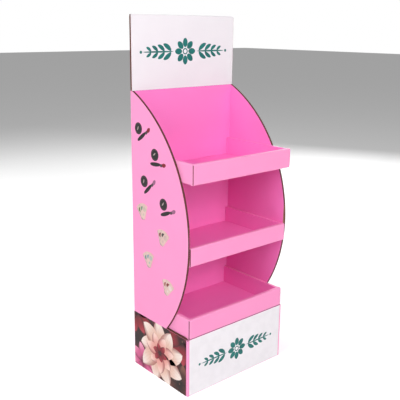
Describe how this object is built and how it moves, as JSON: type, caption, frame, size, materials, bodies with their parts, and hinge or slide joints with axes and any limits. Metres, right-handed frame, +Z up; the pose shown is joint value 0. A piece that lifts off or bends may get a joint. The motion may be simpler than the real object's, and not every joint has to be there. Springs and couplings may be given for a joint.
{
  "type": "cardboard display stand",
  "caption": "Free-standing corrugated board floor display: a plain box base, curved side panels, open trays with rolled lips and a flat header card.",
  "frame": {"origin": "centre of the whole stand's footprint, on the floor, at the box base's underside", "axes": "+Z up, the front of the stand faces -Y, +X to the right seen from the front"},
  "size_m": [0.5, 0.351, 1.368],
  "materials": {
    "pink_board": "satin print on corrugated board",
    "white_board": "satin white print on corrugated board",
    "plain_board": "unprinted kraft liner"
  },
  "bodies": {
    "root": {"outer_shell": "pink_board", "inner_liner": "pink_board", "header_card": "white_board", "tray_top": "pink_board", "tray_middle": "pink_board", "tray_bottom": "pink_board", "base_rib_long": "plain_board", "base_rib_left": "plain_board", "base_rib_right": "plain_board"}
  },
  "joints": []
}
